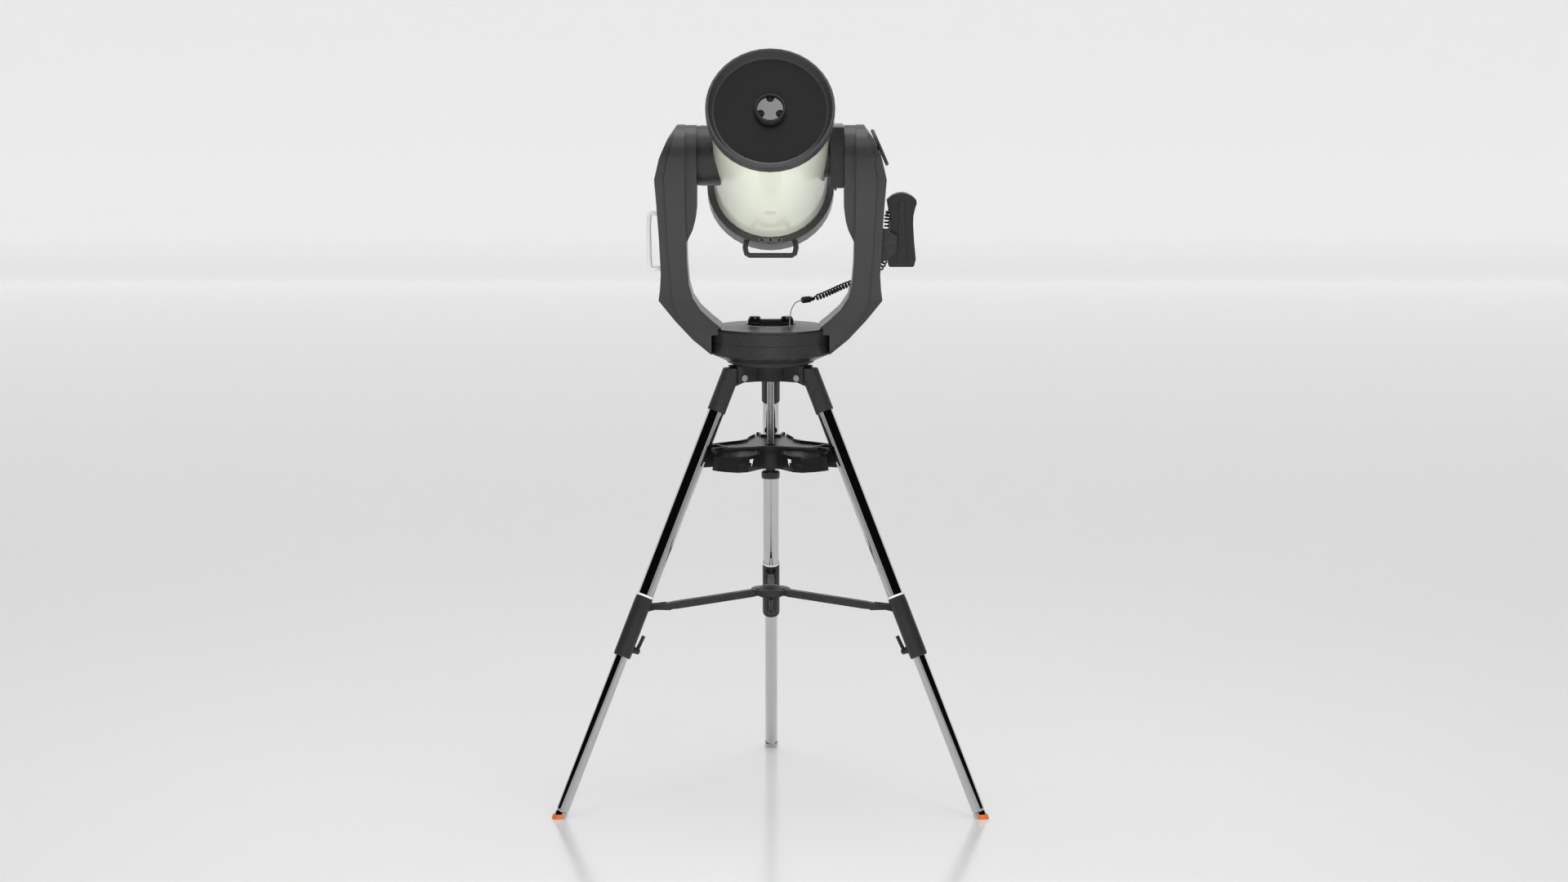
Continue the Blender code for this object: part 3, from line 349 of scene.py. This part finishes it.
HX, HZ = 0.2905, 1.2700
ridge = [(-0.0070, 0.0560), (-0.0045, 0.0610), (0.0, 0.0625), (0.0045, 0.0610), (0.0070, 0.0560), (0.0066, 0.0200), (0.0086, -0.0300), (0.0112, -0.0740), (0.0, -0.0755), (-0.0112, -0.0740), (-0.0086, -0.0300), (-0.0066, 0.0200)]
FRONT = Matrix(((1, 0, 0, HX), (0, 0, -1, 0), (0, 1, 0, HZ), (0, 0, 0, 1)))            # outline x, z; height toward -Y
BACK = Matrix(((-1, 0, 0, HX), (0, 0, 1, 0), (0, 1, 0, HZ), (0, 0, 0, 1)))             # height toward +Y
piece("hand_control_ridge", *slab(ridge, 0.0150, 0.0196, 0.0030), CASE, "hand_control", "black_plastic", where=FRONT)


def round_rect(w, h, r, cx=0.0, cy=0.0, n=5):
    out = []
    for sx, sy, a0 in ((1, 1, 0), (-1, 1, 90), (-1, -1, 180), (1, -1, 270)):
        for k in range(n):
            a = radians(a0 + 90 * k / (n - 1))
            out.append((cx + sx * (w - r) + r * cos(a), cy + sy * (h - r) + r * sin(a)))
    return out


piece("hand_control_bezel", *slab(round_rect(0.0215, 0.0145, 0.0035, 0, 0.0440), 0.0154, 0.0172, 0.0008), CASE, "hand_control", "black_plastic", where=BACK)
piece("hand_control_display", *slab(round_rect(0.0185, 0.0095, 0.0015, 0, 0.0440), 0.0165, 0.0175, 0.0003), DISPLAY, "hand_control", "gloss_black", where=BACK)

# ------------------------------------------------------------------ optics: screws, pads, badge
for k in range(3):
    a = radians(90 + 120 * k)
    screw(f"collimation_screw_{k}", OTA @ Matrix.Translation((0.0232 * cos(a), 0.0232 * sin(a), 0.2531)), "optics", DARK_SCREW, "black_plastic", 1.35)
piece("rear_pad", *slab(round_rect(0.0270, 0.0052, 0.0020, 0, -0.1360), -0.1632, -0.1602, 0.0008), PAD, "optics", "casting", where=OTA)
for k, x in enumerate((-0.0198, 0.0, 0.0198)):
    screw(f"rear_pad_screw_{k}", OTA @ Matrix.Translation((x, -0.1360, -0.1604)), "optics", DARK_SCREW, "black_plastic", 0.75)


def wrapped(half_x, t0, t1, r0, r1, steps=12, ellipse=False):
    """A thin pad that follows the round underside of the tube, in the tube's frame."""
    verts, faces = [], []
    rows = steps if ellipse else 2
    for i in range(rows + 1):
        v = i / rows
        t = t0 + (t1 - t0) * v
        hx = half_x * (math.sqrt(max(0.0, 1 - (2 * v - 1) ** 2)) if ellipse else 1.0)
        hx = max(hx, half_x * 0.08)
        for r in (r0, r1):
            for k in range(steps + 1):
                x = hx * (2 * k / steps - 1)
                a = x / r1
                verts.append((r * sin(a), -r * cos(a), t))
    n = steps + 1
    for i in range(rows):
        for k in range(steps):
            for lvl in (0, 1):
                a = i * 2 * n + lvl * n + k
                faces.append([a, a + 1, a + 1 + 2 * n, a + 2 * n])
        for k in (0, steps):
            a = i * 2 * n + k
            faces.append([a, a + n, a + 3 * n, a + 2 * n])
    for i in (0, rows):
        for k in range(steps):
            a = i * 2 * n + k
            faces.append([a, a + 1, a + 1 + n, a + n])
    return verts, faces


piece("front_pad", *wrapped(0.0200, 0.2180, 0.2335, 0.1270, 0.1296), PALE, "optics", "cream_paint", where=OTA)
for k, x in enumerate((-0.0112, 0.0112)):
    a = x / 0.1296
    screw(f"front_pad_screw_{k}", OTA @ at(0.1294 * sin(a), -0.1294 * cos(a), 0.2258, (sin(a), -cos(a), 0)), "optics", DARK_SCREW, "black_plastic", 0.8)
piece("plain_oval_badge", *wrapped(0.0130, -0.0350, -0.0080, 0.1271, 0.12795, 14, True), PRINT, "optics", "cream_paint", where=OTA)
piece("rear_cell_thumbscrew", *turned([(0, -0.002), (0.0030, -0.002), (0.0030, 0.0012), (0.0056, 0.0016), (0.0060, 0.0030), (0.0056, 0.0052), (0.0040, 0.0060), (0, 0.0061)], 20), DARK_SCREW, "optics", "black_plastic",
      where=OTA @ at(0.1423, 0.0, -0.1830, (1, 0, 0)))

# ------------------------------------------------------------------ base: seam, dial ring, its marks
piece("drum_seam", *turned([(0.1332, 1.0240), (0.1342, 1.0240), (0.1343, 1.0246), (0.1342, 1.0252), (0.1332, 1.0252)], 96), GLOSS, "fork", "black_plastic")
piece("dial_ring", *turned([(0.0572, 1.0612), (0.0598, 1.0612), (0.0598, 1.0621), (0.0594, 1.0623), (0.0576, 1.0623), (0.0572, 1.0621)], 96), PRINT, "fork", "cream_paint")
marks = ([], [])
for k in range(48):
    a = 2 * pi * k / 48
    half, r0, r1 = (0.00045, 0.0577, 0.0593) if k % 4 else (0.0008, 0.0575, 0.0595)
    c, s = cos(a), sin(a)
    base = len(marks[0])
    for z in (1.0622, 1.0626):
        for r, h in ((r0, -half), (r1, -half), (r1, half), (r0, half)):
            marks[0].append((r * c - h * s, r * s + h * c, z))
    marks[1].extend([[base + i for i in q] for q in ((3, 2, 1, 0), (4, 5, 6, 7), (0, 1, 5, 4), (1, 2, 6, 5), (2, 3, 7, 6), (3, 0, 4, 7))])
piece("dial_marks", *marks, DARK_SCREW, "fork", "black_plastic")

# ------------------------------------------------------------------ legs: bright collar over each clamp, leg ends, foot pads in place of the feet; webs under the tray
SLOPE = 0.45272
LEN = math.hypot(1, SLOPE)
for leg, az in (("left", -150), ("right", -30), ("rear", 90)):
    e = Vector((cos(radians(az)), sin(radians(az)), 0))
    up = (Vector((0, 0, 1)) - e * SLOPE) / LEN
    foot = e * 0.535
    p = foot + up * 0.5206
    piece(f"clamp_collar_{leg}", *turned([(0.0182, 0.0), (0.0202, 0.0), (0.0205, 0.0008), (0.0202, 0.0034), (0.0192, 0.0042), (0.0182, 0.0042)], 40), HANDLE, "leg_" + leg, "chrome_tube", where=at(*p, up))

    lo_s, ring = 0.0142, 28
    side_v, out_v = Vector((-e.y, e.x, 0)), (e + Vector((0, 0, SLOPE))) / LEN
    verts, faces = [], []
    for top in (1, 0):
        for k in range(ring):
            a = 2 * pi * k / ring
            q = foot + (side_v * sin(a) + out_v * cos(a)) * 0.0143
            verts.append(q + up * (((lo_s if top else 0.0) - 0.0) if top else (0.0006 - q.z) / up.z))
    for k in range(ring):
        faces.append([k, (k + 1) % ring, ring + (k + 1) % ring, ring + k])
    faces += [list(range(ring))[::-1], list(range(ring, 2 * ring))]
    piece(f"leg_end_{leg}", verts, faces, CHROME, "lower_" + leg, "chrome_tube", sharp=50)
    verts, faces = [], []
    levels = ((0.0, 1.02), (0.0016, 1.07), (0.0078, 1.07), (0.0098, 1.03))
    for z, k in levels:
        c = foot - e * SLOPE * z + Vector((0, 0, z))
        for j in range(17):
            a = radians(-90 + 180 * j / 16)
            verts.append(c + e * (0.0157 * k * cos(a) + 0.0010) + side_v * 0.0143 * k * sin(a))
    for i in range(len(levels) - 1):
        for j in range(17):
            faces.append([i * 17 + j, i * 17 + (j + 1) % 17, (i + 1) * 17 + (j + 1) % 17, (i + 1) * 17 + j])
    faces += [list(range(17))[::-1], list(range(3 * 17, 4 * 17))]
    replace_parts(piece(f"foot_pad_{leg}", verts, faces, ORANGE, "lower_" + leg, "orange_foot", sharp=45), "foot_" + leg)

web = [(0.0418, -0.1205), (0.0478, -0.1316), (0.0700, -0.1433), (0.0692, -0.1406), (0.0490, -0.1296), (0.0432, -0.1198)]
for n in range(6):
    turn, flip = 2 * pi * (n // 2) / 3, 1 if n % 2 else -1
    loop = [(x * flip * cos(turn) - y * sin(turn), x * flip * sin(turn) + y * cos(turn)) for x, y in (web if flip == 1 else web[::-1])]
    verts = [(x, y, z) for z in (0.7486, 0.7672) for x, y in loop]
    faces = [list(range(6))[::-1], list(range(6, 12))] + [[k, (k + 1) % 6, 6 + (k + 1) % 6, 6 + k] for k in range(6)]
    piece("tray_web_%d" % n, verts, faces, TRAY, "tripod", "black_plastic", sharp=40)

# ------------------------------------------------------------------ studio
wide = 34.0
prof = [(-34.0, 0.0), (-4.0, 0.0), (0.0, 0.0), (11.5, 0.0)] + [(11.5 + 3.0 * sin(radians(a)), 3.0 - 3.0 * cos(radians(a))) for a in range(3, 91, 3)] + [(14.5, 20.0)]
verts = [(x, y, z - 0.0004) for y, z in prof for x in (-wide, wide)]
me = bpy.data.meshes.new("studio_sweep")
me.from_pydata(verts, [], [[2 * i, 2 * i + 1, 2 * i + 3, 2 * i + 2] for i in range(len(prof) - 1)])
for f in me.polygons:
    f.use_smooth = True
sweep = bpy.data.objects.new("studio_sweep", me)
bpy.context.collection.objects.link(sweep)
paper = bpy.data.materials.new("pale_sweep")
paper.use_nodes = True
pb = paper.node_tree.nodes["Principled BSDF"]
pb.inputs["Base Color"].default_value = (0.80, 0.80, 0.80, 1)
pb.inputs["Roughness"].default_value = 0.16
pb.inputs["Specular IOR Level"].default_value = 0.35
pb.inputs["Emission Color"].default_value = (1, 1, 1, 1)
pb.inputs["Emission Strength"].default_value = 1.0
pn = paper.node_tree
p_tc, p_sep, p_ramp = pn.nodes.new("ShaderNodeTexCoord"), pn.nodes.new("ShaderNodeSeparateXYZ"), pn.nodes.new("ShaderNodeValToRGB")
p_map = pn.nodes.new("ShaderNodeMapRange")
p_map.inputs["From Max"].default_value = 6.0
pn.links.new(p_tc.outputs["Object"], p_sep.inputs["Vector"])
pn.links.new(p_sep.outputs["Z"], p_map.inputs["Value"])
pn.links.new(p_map.outputs["Result"], p_ramp.inputs["Fac"])
for p_at in (0.010, 0.025, 0.060):
    p_ramp.color_ramp.elements.new(p_at)
for el, (pos, level) in zip(p_ramp.color_ramp.elements, ((0.0, 0.11), (0.010, 0.25), (0.025, 0.34), (0.060, 0.395), (0.55, 0.53))):
    el.position, el.color = pos, (level, level, level, 1)
pn.links.new(p_ramp.outputs["Color"], pb.inputs["Emission Color"])
me.materials.append(paper)

room = bpy.data.materials.new("pale_room")
room.use_nodes = True
rb = room.node_tree.nodes["Principled BSDF"]
rb.inputs["Base Color"].default_value = (0, 0, 0, 1)
rb.inputs["Specular IOR Level"].default_value = 0.0
rb.inputs["Emission Color"].default_value = (0.79, 0.79, 0.79, 1)
rb.inputs["Emission Strength"].default_value = 1.0
bm = bmesh.new()
bmesh.ops.create_uvsphere(bm, u_segments=48, v_segments=24, radius=55.0)
shell = bpy.data.meshes.new("studio_room")
bm.to_mesh(shell)
bm.free()
shell.materials.append(room)
dome = bpy.data.objects.new("studio_room", shell)
bpy.context.collection.objects.link(dome)
dome.visible_diffuse = dome.visible_glossy = dome.visible_transmission = dome.visible_shadow = dome.visible_volume_scatter = False

world = bpy.data.worlds.new("studio")
bpy.context.scene.world = world
world.use_nodes = True
wn = world.node_tree
bg = wn.nodes["Background"]
tc = wn.nodes.new("ShaderNodeTexCoord")
sep = wn.nodes.new("ShaderNodeSeparateXYZ")
ramp = wn.nodes.new("ShaderNodeValToRGB")
ramp.color_ramp.elements[0].position, ramp.color_ramp.elements[0].color = 0.008, (0.006, 0.006, 0.006, 1)
ramp.color_ramp.elements[1].position, ramp.color_ramp.elements[1].color = 0.100, (0.004, 0.004, 0.004, 1)
for at_z, level in ((0.018, 0.62), (0.072, 0.62)):
    stop = ramp.color_ramp.elements.new(at_z)
    stop.color = (level, level, level, 1)
wn.links.new(tc.outputs["Generated"], sep.inputs["Vector"])
wn.links.new(sep.outputs["Z"], ramp.inputs["Fac"])
wn.links.new(ramp.outputs["Color"], bg.inputs["Color"])
bg.inputs["Strength"].default_value = 1.0


def lamp(name, kind, energy, loc, aim, size=1.0, size_y=None):
    d = bpy.data.lights.new(name, kind)
    d.energy = energy
    if kind == "AREA":
        d.shape = "RECTANGLE"
        d.size, d.size_y = size, size_y or size
    else:
        d.angle = size
    o = bpy.data.objects.new(name, d)
    o.location = loc
    o.rotation_euler = (Vector(aim) - Vector(loc)).to_track_quat("-Z", "Y").to_euler()
    bpy.context.collection.objects.link(o)
    return o


lamp("sky", "SUN", 0.95, (0.5, -2.0, 6.0), (0, 0, 0.8), radians(60))
lamp("top_box", "AREA", 30, (0.0, 0.6, 3.6), (0, 0, 1.2), 2.4, 1.6)
low = lamp("low_fill", "AREA", 24, (0.0, -3.2, 0.75), (0, 0, 1.30), 2.0, 0.8)
low.visible_glossy = False
low.data.spread = radians(110)
for x in (-2.6, 2.6):
    strip = lamp("left_strip" if x < 0 else "right_strip", "AREA", 26, (x, -3.6, 1.7), (0, 0, 1.0), 0.55, 2.6)
    strip.visible_glossy = False

cam_data = bpy.data.cameras.new("camera")
cam_data.lens = 108.3
cam_data.sensor_width = 36
cam_data.clip_end = 100
cam = bpy.data.objects.new("camera", cam_data)
cam.location = (0.0299, -10.426, 2.1935)
cam.rotation_euler = (pi / 2 - 0.1329, 0, 0)
bpy.context.collection.objects.link(cam)
bpy.context.scene.camera = cam
bpy.context.scene.view_settings.view_transform = "Standard"
